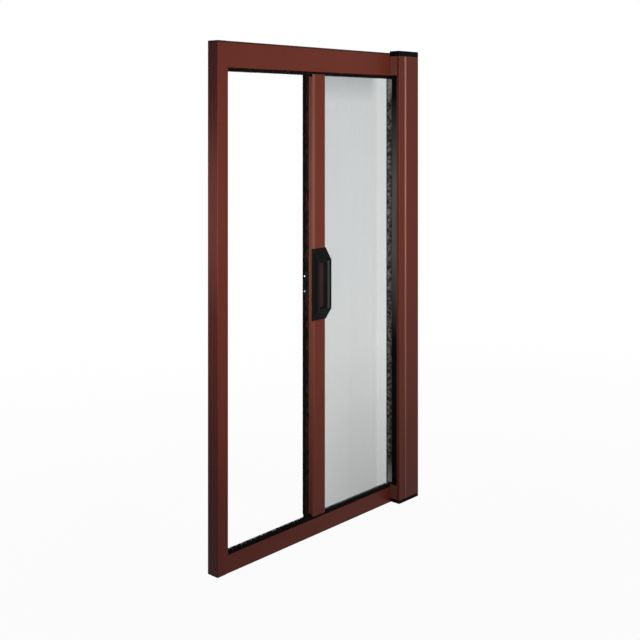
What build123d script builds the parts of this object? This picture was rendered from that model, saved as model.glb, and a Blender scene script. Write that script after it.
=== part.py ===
# Retractable screen door: a mesh screen that rolls sideways into a cassette.
# Millimetres, +Z up. The front, with the handle, faces -Y, and the cassette stands at +X.
# The origin lies on the sill rail's underside, midway across the door and midway through
# the depth of the frame.
import os

from build123d import *

os.makedirs("parts", exist_ok=True)

# Overall sizes
door_height = 2050.0
door_width = 1200.0
frame_depth = 57.0
moving_clearance = 5.0
running_clearance = 0.3

# Strike jamb: a box section, with a strike channel clipped on between the rails
jamb_box_width = 43.0
jamb_wall = 2.0
jamb_corner = 2.5
jamb_cap_thickness = 4.0
fixing_rows = 2
fixing_spacing_outer = 1680.0
fixing_spacing_inner = 560.0
fixing_hole_radius = 2.75
access_hole_radius = 6.0
port_radius = 3.4
port_bore = 1.9

# Strike channel and closing strips: the bar meets the channel face to face
channel_depth = 14.0
channel_wall = 2.0
channel_corner = 6.0
closing_lip = 1.5
closing_width = 36.0
strike_strip_thickness = 8.0
strip_groove = 3.0
strip_land = 16.0
keeper_margin = 10.0

# Head and sill rails
head_face = 103.0
sill_face = 70.0
rail_depth = 32.0
rail_wall = 2.0
rail_corner = 1.8
rail_entry = 46.0
track_gap = 6.0
shelf_drop = 13.0
shelf_thickness = 2.0
brush_rib_height = 3.0
brush_rib = 1.2

# Brush strips in the rails
brush_base_height = 2.0
brush_base_width = 8.0
brush_pile = 5.0
brush_reach = 15.0

# Mesh
mesh_setback = 17.0
mesh_thickness = 0.5
mesh_tuck = 11.0

# Cassette
cassette_width = 148.0
cassette_projection = 55.0
cassette_wall = 2.2
cassette_left_corner = 4.0
cassette_right_corner = 10.0
cassette_foot = 5.0
cassette_rise = 8.0
bottom_cap_height = 16.0
top_cap_height = 24.0
cap_wall = 4.0
cap_edge = 1.0
cap_boss_radius = 4.5
cap_screw_radius = 2.1
cap_screw_head_radius = 2.8
cap_screw_head_depth = 2.2
seam_from_left = 44.0
bead_radius = 4.0
bead_proud = 2.0
cover_gap = 0.4
tongue_thickness = 1.5
tongue_reach = 8.0
cover_land = 14.5
carrier_width = 29.0
carrier_thickness = 12.0
carrier_edge = 1.5
carrier_above_sill = 26.0
carrier_below_head = 4.0
pile_below_brush = 1.0
mouth_pile_thickness = 8.0
pile_clearance = 1.0
back_pile_length = 1.5
lip_run = 15.0
lip_thickness = 4.8
lip_land = 5.0
lip_tongue = 6.0
lip_tongue_thickness = 2.0

# Spring roller
roller_radius = 15.0
roller_wall = 1.5
roll_radius = 24.0
hub_insert = 30.0
hub_flange_radius = 22.0
hub_flange_thickness = 3.0
pin_radius = 5.0
boss_radius = 10.0

# Pull bar
bar_width = 83.0
bar_from_left = 532.5
bar_gap = 10.0
bar_wall = 2.0
bar_front_corner = 8.0
bar_back_corner = 3.0
groove_width = 3.0
groove_depth = 2.5
strip_depth = 12.0
clip_width = 12.0
clip_depth = 10.0
clip_mouth = 6.0
bar_cap_thickness = 6.0
bar_cap_gap = 0.1
shoe_thickness = 4.0
shoe_length = 60.0
shoe_foot_width = 16.0
shoe_foot_height = 8.0
shoe_foot_drop = 5.0

# Handle
handle_low = 901.0
handle_height = 303.0
handle_projection = 35.0
handle_slope = 52.0
handle_wrap = 5.0
handle_wall = 3.0
handle_gap = 0.15
handle_edge = 4.0
pocket_from_left = 7.0
pocket_width = 45.0
pocket_height = 188.0
pocket_depth = 14.0
pocket_corner = 8.0
pocket_draft = 14.0
handle_boss_radius = 5.0
handle_boss_bore = 1.8
handle_boss_depth = 14.0
handle_boss_from_end = 30.0
handle_screw_radius = 2.3
handle_access_radius = 5.0

# Latch
latch_height = 105.0
latch_recess = 5.0
latch_plate_thickness = 2.0
hook_slot_height = 44.0
hook_slot_width = 14.0
hook_thickness = 4.0
hook_height = 24.0
hook_back = 1.0

# Places that follow from the sizes above
front = -frame_depth / 2
back = frame_depth / 2
left = -door_width / 2
right = door_width / 2
jamb_box_right = left + jamb_box_width
channel_face = jamb_box_right + channel_depth
head_edge = door_height - head_face
rail_back = front + rail_depth
mesh_y = front + mesh_setback
mesh_faces = (mesh_y - mesh_thickness / 2, mesh_y + mesh_thickness / 2)
mesh_low = sill_face - mesh_tuck
mesh_high = head_edge + mesh_tuck
cassette_left = right - cassette_width
cassette_front = front - cassette_projection
cassette_top = door_height + cassette_rise
cassette_low = cassette_foot + bottom_cap_height
cassette_high = cassette_top - top_cap_height
cassette_x = (cassette_left + cassette_wall, right - cassette_wall)
cassette_y = (cassette_front + cassette_wall, rail_back - cassette_wall)
seam = cassette_left + seam_from_left
rail_end = cassette_left + rail_entry
mouth_front = cassette_front + cover_land
mouth_low = sill_face + carrier_above_sill
mouth_high = head_edge - carrier_below_head
lip_y = mesh_faces[1] + pile_clearance + back_pile_length
lip_end = cassette_left + lip_run + lip_land
roller_x = cassette_left + cassette_width / 2
roller_y = mesh_faces[0] - roll_radius
strip_y = (back - closing_lip - closing_width, back - closing_lip)
bar_left = left + bar_from_left
bar_right = bar_left + bar_width
bar_middle = (bar_left + bar_right) / 2
bar_low = sill_face + bar_gap
bar_high = head_edge - bar_gap
notch_half = track_gap / 2 + brush_rib + brush_pile + moving_clearance
notch_depth = brush_reach - bar_gap + moving_clearance
bar_ends = ((bar_low, 1), (bar_high, -1))
strip_inner = bar_left + strip_depth
handle_high = handle_low + handle_height
handle_face = front - handle_projection
handle_screws = (handle_low + handle_boss_from_end, handle_high - handle_boss_from_end)
latch_middle = (handle_low + handle_high) / 2
latch_low = latch_middle - latch_height / 2
latch_high = latch_middle + latch_height / 2
port_inset = port_radius / 2
jamb_ports = tuple(
    (left + jamb_wall + port_inset, side * (back - jamb_wall - port_inset)) for side in (-1, 1)
)
cover_port = (cassette_x[0] + port_inset, cassette_y[0] + port_inset)
body_ports = (
    (rail_end + 2 * port_radius, cassette_y[1] - port_inset),
    (cassette_x[1] - port_inset, cassette_y[1] - port_inset),
)
cassette_ports = (cover_port, *body_ports)


def write(piece, label):
    """Labels a finished piece and writes its STEP file."""
    piece.part.label = label
    export_step(piece.part, f"parts/{label}.step")


def panel(across, along, mode=Mode.ADD):
    """A rectangle between low and high values, in the sketch that is open."""
    with Locations(((across[0] + across[1]) / 2, (along[0] + along[1]) / 2)):
        Rectangle(across[1] - across[0], along[1] - along[0], mode=mode)


def block(x, y, z, mode=Mode.ADD):
    """A box between low and high values, in the part that is open."""
    with Locations(((x[0] + x[1]) / 2, (y[0] + y[1]) / 2, (z[0] + z[1]) / 2)):
        Box(x[1] - x[0], y[1] - y[0], z[1] - z[0], mode=mode)


def span(start, length):
    """Low and high values of a stretch that starts at one place and may run either way."""
    return tuple(sorted((start, start + length)))


def screw_ports(*places):
    """Round ports for end screws, in the sketch that is open."""
    with Locations(*places):
        Circle(port_radius)
        Circle(port_bore, mode=Mode.SUBTRACT)


def screw_circles(places, radius):
    """A circle at each screw's place, in the sketch that is open."""
    with Locations(*places):
        Circle(radius)


def upright_edges(piece, at_front, at_left):
    """The one upright edge of a piece at its front or back and at its left or right."""
    row = piece.edges().filter_by(Axis.Z).group_by(Axis.Y)[0 if at_front else -1]
    return row.sort_by(Axis.X)[0 if at_left else -1]


def front_right(corners):
    """The corner of a plan sketch at its front and right."""
    return corners.group_by(Axis.Y)[0].sort_by(Axis.X)[-1]


def export_strike_jamb():
    """The box section at the closing side, its two end caps and its fixing holes."""
    body = (jamb_cap_thickness, door_height - jamb_cap_thickness)
    inside_x = (left + jamb_wall, jamb_box_right - jamb_wall)
    inside_y = (front + jamb_wall, back - jamb_wall)
    with BuildPart() as strike_jamb:
        with BuildSketch(Plane.XY.offset(body[0])):
            panel((left, jamb_box_right), (front, back))
            panel(inside_x, inside_y, Mode.SUBTRACT)
            screw_ports(*jamb_ports)
        extrude(amount=body[1] - body[0])
        fillet(upright_edges(strike_jamb, True, True), radius=jamb_corner)
        fillet(upright_edges(strike_jamb, False, True), radius=jamb_corner)
        for wall, radius in (
            (left, fixing_hole_radius),
            (inside_x[1], access_hole_radius),
        ):
            with BuildSketch(Plane.YZ.offset(wall)):
                for spacing in (fixing_spacing_outer, fixing_spacing_inner):
                    with Locations((0, door_height / 2)):
                        with GridLocations(0, spacing, 1, fixing_rows):
                            Circle(radius)
            extrude(amount=jamb_wall, mode=Mode.SUBTRACT)
    write(strike_jamb, "strike_jamb")

    for label, outer, inward in (("jamb_cap_bottom", 0.0, 1), ("jamb_cap_top", door_height, -1)):
        with BuildPart() as jamb_cap:
            with BuildSketch(Plane.XY.offset(outer)):
                panel((left, jamb_box_right), (front, back))
            extrude(amount=inward * jamb_cap_thickness)
            fillet(upright_edges(jamb_cap, True, True), radius=jamb_corner)
            fillet(upright_edges(jamb_cap, False, True), radius=jamb_corner)
            with BuildSketch(Plane.XY.offset(outer)):
                screw_circles(jamb_ports, cap_screw_radius)
            extrude(amount=inward * jamb_cap_thickness, mode=Mode.SUBTRACT)
            with BuildSketch(Plane.XY.offset(outer)):
                screw_circles(jamb_ports, cap_screw_head_radius)
            extrude(amount=inward * cap_screw_head_depth, mode=Mode.SUBTRACT)
        write(jamb_cap, label)


def export_strike_channel():
    """The channel that the bar closes on, with its magnetic strips and the latch's keeper."""
    recess_floor = jamb_box_right + channel_wall
    height = head_edge - sill_face
    with BuildPart() as strike_channel:
        with BuildSketch(Plane.XY.offset(sill_face)):
            panel((jamb_box_right, channel_face), (front, back))
            fillet(front_right(vertices()), radius=channel_corner)
        extrude(amount=height)
        with BuildSketch(Plane.XY.offset(sill_face)):
            panel(
                (recess_floor, channel_face - channel_wall),
                (front + channel_wall, strip_y[0] - channel_wall),
            )
            fillet(front_right(vertices()), radius=channel_corner - channel_wall)
            panel((recess_floor, channel_face), strip_y)
        extrude(amount=height, mode=Mode.SUBTRACT)
    write(strike_channel, "strike_channel")

    keeper_z = (latch_low - keeper_margin, latch_high + keeper_margin)
    for label, z in (
        ("strike_strip_lower", (sill_face, keeper_z[0])),
        ("strike_strip_upper", (keeper_z[1], head_edge)),
    ):
        with BuildPart() as strike_strip:
            with BuildSketch(Plane.XY.offset(z[0])):
                strip_section(recess_floor, recess_floor + strike_strip_thickness)
            extrude(amount=z[1] - z[0])
        write(strike_strip, label)

    with BuildPart() as strike_keeper:
        block((recess_floor, recess_floor + latch_plate_thickness), strip_y, keeper_z)
        with BuildSketch(Plane.YZ.offset(recess_floor)):
            hook_slot()
        extrude(amount=latch_plate_thickness, mode=Mode.SUBTRACT)
    write(strike_keeper, "strike_keeper")


def strip_section(seat, face):
    """A magnetic strip's section: a middle land between two grooves, and a fin each side."""
    middle = (strip_y[0] + strip_y[1]) / 2
    toward = 1 if face > seat else -1
    panel(tuple(sorted((seat, face))), strip_y)
    for side in (-1, 1):
        groove = span(middle + side * strip_land / 2, side * strip_groove)
        panel(span(face, -toward * strip_groove), groove, Mode.SUBTRACT)


def hook_slot():
    """The slot that the latch's hook passes through, in the sketch that is open."""
    with Locations(((strip_y[0] + strip_y[1]) / 2, latch_middle)):
        SlotOverall(hook_slot_height, hook_slot_width, rotation=90)


def export_rail(name, edge, outer, inward):
    """A rail from the jamb into the cassette. inward is +1 where the track opens upwards, else -1."""
    length = rail_end - jamb_box_right
    shelf = edge - inward * shelf_drop
    slot = (mesh_y - track_gap / 2, mesh_y + track_gap / 2)
    corner_z = outer + inward * (rail_wall + port_inset)
    with BuildPart() as rail:
        with BuildSketch(Plane.YZ.offset(jamb_box_right)):
            panel((front, front + rail_wall), span(outer, edge - outer))
            panel((rail_back - rail_wall, rail_back), span(outer, edge - outer))
            panel((front, rail_back), span(outer, inward * rail_wall))
            panel((front, slot[0]), span(shelf, -inward * shelf_thickness))
            panel((slot[1], rail_back), span(shelf, -inward * shelf_thickness))
            for rib in (slot[0] - brush_rib, slot[1]):
                panel((rib, rib + brush_rib), span(shelf, inward * brush_rib_height))
            screw_ports(
                (front + rail_wall + port_inset, corner_z),
                (rail_back - rail_wall - port_inset, corner_z),
            )
        extrude(amount=length)
        outside = rail.edges().filter_by(Axis.X).group_by(Axis.Y)[0]
        fillet(outside, radius=rail_corner)
    write(rail, f"{name}_rail")

    tip = edge + inward * brush_reach
    for side, away, stop in (("front", -1, rail_end), ("back", 1, cassette_left)):
        root = mesh_y + away * (track_gap / 2 + brush_rib)
        with BuildPart() as rail_brush:
            with BuildSketch(Plane.YZ.offset(channel_face)):
                panel(span(root, away * brush_base_width), span(shelf, inward * brush_base_height))
                panel(span(root, away * brush_pile), span(shelf, tip - shelf))
            extrude(amount=stop - channel_face)
        write(rail_brush, f"{name}_brush_{side}")


def export_cassette_body():
    """The cassette's back, right side and front, open towards the mesh and notched for the rails."""
    rail_x = (cassette_left, rail_end + running_clearance)
    back_y = (cassette_y[1], rail_back)
    with BuildPart() as cassette_body:
        with BuildSketch(Plane.XY.offset(cassette_low)):
            panel((seam + cover_gap, right), (cassette_front, rail_back))
            panel((lip_end, right), back_y)
            fillet(front_right(vertices()), radius=cassette_right_corner)
        extrude(amount=cassette_high - cassette_low)
        with BuildSketch(Plane.XY.offset(cassette_low)):
            panel((seam, cassette_x[1]), cassette_y)
            fillet(front_right(vertices()), radius=cassette_right_corner - cassette_wall)
        extrude(amount=cassette_high - cassette_low, mode=Mode.SUBTRACT)
        with BuildSketch(Plane.XY.offset(cassette_low)):
            screw_ports(*body_ports)
        extrude(amount=cassette_high - cassette_low)
        for low, high in ((cassette_low, sill_face), (head_edge, cassette_high)):
            block(rail_x, back_y, (low, high), Mode.SUBTRACT)
    write(cassette_body, "cassette_body")


def export_cassette_cover():
    """The narrow cover at the mouth: its front with a bead, its return and the carrier's seat."""
    height = cassette_high - cassette_low
    with BuildPart() as cassette_cover:
        with BuildSketch(Plane.XY.offset(cassette_low)):
            panel((cassette_left, seam), (cassette_front, mouth_front))
            fillet(vertices().group_by(Axis.Y)[0].sort_by(Axis.X)[0], radius=cassette_left_corner)
            with Locations((seam - bead_radius, cassette_front + bead_proud)):
                Circle(bead_radius)
        extrude(amount=height)
        with BuildSketch(Plane.XY.offset(cassette_low)):
            panel((cassette_x[0], seam), (cassette_y[0], mouth_front - cassette_wall))
            panel((cassette_left + carrier_thickness, seam), (cassette_y[0], mouth_front))
        extrude(amount=height, mode=Mode.SUBTRACT)
        with BuildSketch(Plane.XY.offset(cassette_low)):
            panel((seam - tongue_reach, seam + tongue_reach), span(cassette_y[0], tongue_thickness))
            screw_ports(cover_port)
        extrude(amount=height)
    write(cassette_cover, "cassette_cover")


def export_cassette_caps():
    """The moulded end caps: hollow, notched round the rail, with bosses for roller and screws."""
    inside_x = (cassette_left + cap_wall, right - cap_wall)
    inside_y = (cassette_front + cap_wall, rail_back - cap_wall)
    notch_x = rail_end + running_clearance
    notch_y = front - running_clearance
    for label, outer, height in (
        ("cassette_cap_bottom", cassette_foot, bottom_cap_height),
        ("cassette_cap_top", cassette_top, -top_cap_height),
    ):
        inward = 1 if height > 0 else -1
        mouth = outer + height
        with BuildPart() as cassette_end:
            with BuildSketch(Plane.XY.offset(outer)):
                panel((cassette_left, right), (cassette_front, rail_back))
                panel((cassette_left, notch_x), (notch_y, rail_back), Mode.SUBTRACT)
            extrude(amount=height)
            fillet(upright_edges(cassette_end, True, True), radius=cassette_left_corner)
            fillet(upright_edges(cassette_end, True, False), radius=cassette_right_corner)
            rim = cassette_end.faces().sort_by(Axis.Z)[0 if inward > 0 else -1]
            chamfer(rim.edges(), length=cap_edge)
            with BuildSketch(Plane.XY.offset(mouth)):
                panel(inside_x, inside_y)
                panel(
                    (cassette_left, notch_x + cap_wall),
                    (notch_y - cap_wall, rail_back),
                    Mode.SUBTRACT,
                )
                with Locations((roller_x, roller_y)):
                    Circle(boss_radius, mode=Mode.SUBTRACT)
                with Locations(*cassette_ports):
                    Circle(cap_boss_radius, mode=Mode.SUBTRACT)
            extrude(amount=inward * cap_wall - height, mode=Mode.SUBTRACT)
            with BuildSketch(Plane.XY.offset(mouth)):
                with Locations((roller_x, roller_y)):
                    Circle(pin_radius + running_clearance)
            extrude(amount=inward * cap_wall - height, mode=Mode.SUBTRACT)
            with BuildSketch(Plane.XY.offset(outer)):
                screw_circles(cassette_ports, cap_screw_radius)
            extrude(amount=height, mode=Mode.SUBTRACT)
            with BuildSketch(Plane.XY.offset(outer)):
                screw_circles(cassette_ports, cap_screw_head_radius)
            extrude(amount=inward * cap_screw_head_depth, mode=Mode.SUBTRACT)
        write(cassette_end, label)


def export_mouth():
    """What closes the cassette's mouth round the mesh: a carrier and a slanted lip, each with pile."""
    carrier_y = span(mouth_front, carrier_width)
    with BuildPart() as carrier:
        with BuildSketch(Plane.XY.offset(mouth_low)):
            panel(span(cassette_left, carrier_thickness), carrier_y)
        extrude(amount=mouth_high - mouth_low)
        chamfer(carrier.edges().filter_by(Axis.Z).group_by(Axis.X)[0], length=carrier_edge)
    write(carrier, "mouth_carrier_front")

    tongue_y = cassette_y[1] - lip_tongue_thickness
    lip_rise = (tongue_y - lip_y) / (rail_back - lip_y)
    with BuildPart() as lip:
        with BuildSketch(Plane.XY.offset(sill_face)):
            with BuildLine():
                Polyline(
                    (cassette_left, lip_y),
                    (cassette_left + lip_run, rail_back),
                    (lip_end, rail_back),
                    (lip_end, cassette_y[1]),
                    (lip_end + lip_tongue, cassette_y[1]),
                    (lip_end + lip_tongue, tongue_y),
                    (cassette_left + lip_thickness + lip_run * lip_rise, tongue_y),
                    (cassette_left + lip_thickness, lip_y),
                    close=True,
                )
            make_face()
        extrude(amount=head_edge - sill_face)
    write(lip, "mouth_carrier_back")

    for label, pile_x, pile_y in (
        ("mouth_pile_front", mouth_pile_thickness, (carrier_y[1], mesh_faces[0] - pile_clearance)),
        ("mouth_pile_back", lip_thickness, (lip_y - back_pile_length, lip_y)),
    ):
        with BuildPart() as mouth_pile:
            with BuildSketch(Plane.XY.offset(mouth_low)):
                panel(span(cassette_left, pile_x), pile_y)
            extrude(amount=head_edge - brush_reach - pile_below_brush - mouth_low)
        write(mouth_pile, label)


def export_roller():
    """The spring roller, its two end hubs and the mesh that is wound on it."""
    for label, outer_radius, inner_radius in (
        ("roller_tube", roller_radius, roller_radius - roller_wall),
        ("mesh_roll", roll_radius, roller_radius),
    ):
        with BuildPart() as roller:
            with BuildSketch(Plane.XY.offset(mesh_low)):
                with Locations((roller_x, roller_y)):
                    Circle(outer_radius)
                    Circle(inner_radius, mode=Mode.SUBTRACT)
            extrude(amount=mesh_high - mesh_low)
        write(roller, label)

    for label, tube_end, cap_floor, outward in (
        ("roller_hub_bottom", mesh_low, cassette_foot + cap_wall, -1),
        ("roller_hub_top", mesh_high, cassette_top - cap_wall, 1),
    ):
        stages = (
            (roller_radius - roller_wall, tube_end - outward * hub_insert, tube_end),
            (hub_flange_radius, tube_end, tube_end + outward * hub_flange_thickness),
            (pin_radius, tube_end, cap_floor),
        )
        with BuildPart() as roller_hub:
            for radius, start, end in stages:
                with BuildSketch(Plane.XY.offset(start)):
                    with Locations((roller_x, roller_y)):
                        Circle(radius)
                extrude(amount=end - start)
        write(roller_hub, label)


def export_screen_mesh():
    """The flat stretch of mesh from the pull bar's clip to the roll."""
    with BuildPart() as screen_mesh:
        with BuildSketch(Plane.XY.offset(mesh_low)):
            panel((bar_right, roller_x), mesh_faces)
        extrude(amount=mesh_high - mesh_low)
    write(screen_mesh, "screen_mesh")


def notch_bar_ends():
    """Cuts both ends of the piece that is open, so that it passes the rails' brush strips."""
    for end, inward in bar_ends:
        block(
            (bar_left, bar_right),
            (mesh_y - notch_half, mesh_y + notch_half),
            span(end, inward * notch_depth),
            Mode.SUBTRACT,
        )


def export_pull_bar():
    """The pull bar's extrusion, notched at its ends to pass the brush strips."""
    inside_x = (strip_inner + bar_wall, bar_right - bar_wall)
    inside_y = (front + bar_wall, back - bar_wall)
    groove_y = span(front + bar_front_corner, groove_width)
    clip_y = (mesh_y - clip_width / 2, mesh_y + clip_width / 2)
    clip_x = (bar_right - clip_depth, bar_right - bar_wall)
    clip_box_y = (clip_y[0] - bar_wall, clip_y[1] + bar_wall)
    front_hollow = (inside_y[0], strip_y[0] - bar_wall)
    port_y = inside_y[1] - port_inset
    port_places = ((inside_x[0] + port_inset, port_y), (inside_x[1] - port_inset, port_y))
    height = bar_high - bar_low
    with BuildPart() as pull_bar:
        with BuildSketch(Plane.XY.offset(bar_low)):
            panel((bar_left, bar_right), (front, back))
            fillet(vertices().group_by(Axis.Y)[0], radius=bar_front_corner)
            fillet(vertices().group_by(Axis.Y)[-1].sort_by(Axis.X)[-1], radius=bar_back_corner)
        extrude(amount=height)
        with BuildSketch(Plane.XY.offset(bar_low)):
            panel(inside_x, inside_y)
            fillet(front_right(vertices()), radius=bar_front_corner - bar_wall)
        extrude(amount=height, mode=Mode.SUBTRACT)
        with BuildSketch(Plane.XY.offset(bar_low)):
            panel((bar_left + bar_wall + groove_depth, strip_inner), front_hollow)
            fillet(vertices().group_by(Axis.Y)[0].sort_by(Axis.X)[0], radius=groove_depth)
            panel((bar_left, strip_inner), strip_y)
            panel(span(bar_left, groove_depth), groove_y)
        extrude(amount=height, mode=Mode.SUBTRACT)
        with BuildSketch(Plane.XY.offset(bar_low)):
            panel((clip_x[0] - bar_wall, bar_right - bar_wall), clip_box_y)
            panel(clip_x, clip_y, Mode.SUBTRACT)
            screw_ports(*port_places)
        extrude(amount=height)
        with BuildSketch(Plane.XY.offset(bar_low)):
            panel((clip_x[1], bar_right), (mesh_y - clip_mouth / 2, mesh_y + clip_mouth / 2))
        extrude(amount=height, mode=Mode.SUBTRACT)
        notch_bar_ends()
        for wall_y, radius in ((front, handle_screw_radius), (inside_y[1], handle_access_radius)):
            with BuildSketch(Plane.XZ.offset(-wall_y)):
                screw_circles([(bar_middle, z) for z in handle_screws], radius)
            extrude(amount=-bar_wall, mode=Mode.SUBTRACT)
    write(pull_bar, "pull_bar")


def export_bar_ends():
    """The plates that close the bar's ends, and the guide shoes that run in the rails."""
    cap_x = (strip_inner + bar_wall, bar_right - clip_depth - bar_wall)
    shoe_x = span(cap_x[0], shoe_length)
    for name, (end, inward) in zip(("bottom", "top"), bar_ends):
        seat = end + inward * notch_depth
        with BuildPart() as bar_cap:
            with BuildSketch(Plane.XY.offset(seat)):
                panel(cap_x, (front + bar_wall, back - bar_wall))
                with Locations((cap_x[0] + port_inset, back - bar_wall - port_inset)):
                    Circle(port_radius + bar_cap_gap, mode=Mode.SUBTRACT)
            extrude(amount=inward * bar_cap_thickness)
        write(bar_cap, f"bar_cap_{name}")

        rail_edge = end - inward * bar_gap
        shelf_back = rail_edge - inward * (shelf_drop + shelf_thickness)
        foot = shelf_back - inward * shoe_foot_drop
        with BuildPart() as guide_shoe:
            block(
                shoe_x,
                (mesh_y - shoe_thickness / 2, mesh_y + shoe_thickness / 2),
                span(seat, foot - seat),
            )
            block(
                shoe_x,
                (mesh_y - shoe_foot_width / 2, mesh_y + shoe_foot_width / 2),
                span(foot, -inward * shoe_foot_height),
            )
            fillet(
                guide_shoe.edges().filter_by(Axis.Y).group_by(Axis.Z)[0 if inward > 0 else -1],
                radius=shoe_foot_height / 2,
            )
        write(guide_shoe, f"guide_shoe_{name}")


def export_closing_strips():
    """The black magnetic strips in the bar's closing face, above and below the latch."""
    for label, low, high in (
        ("closing_strip_lower", bar_low, latch_low),
        ("closing_strip_upper", latch_high, bar_high),
    ):
        with BuildPart() as closing_strip:
            with BuildSketch(Plane.XY.offset(low)):
                strip_section(strip_inner, bar_left)
            extrude(amount=high - low)
            notch_bar_ends()
        write(closing_strip, label)


def export_mesh_clip():
    """The spline that holds the mesh's edge in the bar."""
    with BuildPart() as mesh_clip:
        with BuildSketch(Plane.XY.offset(bar_low + notch_depth)):
            for clip_x, width in (
                ((bar_right - clip_depth, bar_right - bar_wall), clip_width),
                ((bar_right - bar_wall, bar_right), clip_mouth),
            ):
                panel(clip_x, (mesh_y - width / 2, mesh_y + width / 2))
        extrude(amount=bar_high - bar_low - 2 * notch_depth)
    write(mesh_clip, "mesh_clip")


def export_latch():
    """The latch between the closing strips: a slotted plate, its case and the hook inside."""
    plate_x = bar_left + latch_recess
    case_x = (plate_x + latch_plate_thickness, strip_inner)
    middle_y = (strip_y[0] + strip_y[1]) / 2
    with BuildPart() as latch_plate:
        block(span(plate_x, latch_plate_thickness), strip_y, (latch_low, latch_high))
        with BuildSketch(Plane.YZ.offset(plate_x)):
            hook_slot()
        extrude(amount=latch_plate_thickness, mode=Mode.SUBTRACT)
    write(latch_plate, "latch_plate")
    with BuildPart() as latch_case:
        block(case_x, strip_y, (latch_low, latch_high))
        with BuildSketch(Plane.YZ.offset(case_x[0])):
            hook_slot()
        extrude(amount=case_x[1] - case_x[0], mode=Mode.SUBTRACT)
    write(latch_case, "latch_case")
    with BuildPart() as latch_hook:
        with BuildSketch(Plane.XZ.offset(-middle_y - hook_thickness / 2)):
            with BuildLine():
                low = latch_middle - hook_height / 2
                high = latch_middle + hook_height / 2
                Polyline(
                    (strip_inner, low),
                    (strip_inner, high),
                    (plate_x + latch_plate_thickness, high),
                    (plate_x, high - hook_thickness),
                    (plate_x, latch_middle + hook_thickness / 2),
                    (case_x[0] + hook_back, latch_middle),
                    (case_x[0] + hook_back, low),
                    close=True,
                )
            make_face()
        extrude(amount=hook_thickness)
    write(latch_hook, "latch_hook")


def export_handle():
    """The moulded handle: a hollow block with sloping ends, wrapped round the bar's corners."""
    middle_z = (handle_low + handle_high) / 2
    pocket_x = bar_left + pocket_from_left + pocket_width / 2
    seat = front - handle_gap
    inner_face = handle_face + handle_wall
    pocket_guard = (pocket_width / 2 + handle_wall, pocket_height / 2 + handle_wall)
    with BuildPart() as hollow:
        with BuildSketch(Plane.YZ.offset(bar_left + handle_wall)):
            with BuildLine():
                Polyline(
                    (seat, handle_low + handle_wall),
                    (seat, handle_high - handle_wall),
                    (inner_face, handle_high - handle_slope),
                    (inner_face, handle_low + handle_slope),
                    close=True,
                )
            make_face()
        extrude(amount=bar_width - 2 * handle_wall)
        block(
            (bar_left, pocket_x + pocket_guard[0]),
            (inner_face, handle_face + pocket_depth + handle_wall),
            (middle_z - pocket_guard[1], middle_z + pocket_guard[1]),
            Mode.SUBTRACT,
        )
        with BuildSketch(Plane.XZ.offset(-seat)):
            screw_circles([(bar_middle, z) for z in handle_screws], handle_boss_radius)
        extrude(amount=handle_projection, mode=Mode.SUBTRACT)
    with BuildPart() as handle:
        with BuildSketch(Plane.YZ.offset(bar_left)):
            with BuildLine():
                Polyline(
                    (front + handle_wrap, handle_low),
                    (front + handle_wrap, handle_high),
                    (front, handle_high),
                    (handle_face, handle_high - handle_slope),
                    (handle_face, handle_low + handle_slope),
                    (front, handle_low),
                    close=True,
                )
            make_face()
        extrude(amount=bar_width)
        with BuildSketch(Plane.XY.offset(handle_low)):
            panel((bar_left, bar_right), (seat, back))
            corners = vertices().group_by(Axis.Y)[0]
            fillet(corners, radius=bar_front_corner)
        extrude(amount=handle_height, mode=Mode.SUBTRACT)
        outline = handle.faces().sort_by(Axis.Y)[0].edges()
        fillet(outline, radius=handle_edge)
        with BuildSketch(Plane.XZ.offset(-handle_face)):
            with Locations((pocket_x, middle_z)):
                RectangleRounded(pocket_width, pocket_height, pocket_corner)
        extrude(amount=-pocket_depth, taper=pocket_draft, mode=Mode.SUBTRACT)
        add(hollow.part, mode=Mode.SUBTRACT)
        with BuildSketch(Plane.XZ.offset(-seat)):
            screw_circles([(bar_middle, z) for z in handle_screws], handle_boss_bore)
        extrude(amount=handle_boss_depth, mode=Mode.SUBTRACT)
    write(handle, "handle")


export_strike_jamb()
export_strike_channel()
export_rail("sill", sill_face, 0.0, 1)
export_rail("head", head_edge, door_height, -1)
export_cassette_body()
export_cassette_cover()
export_cassette_caps()
export_mouth()
export_roller()
export_screen_mesh()
export_pull_bar()
export_bar_ends()
export_closing_strips()
export_mesh_clip()
export_latch()
export_handle()
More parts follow.
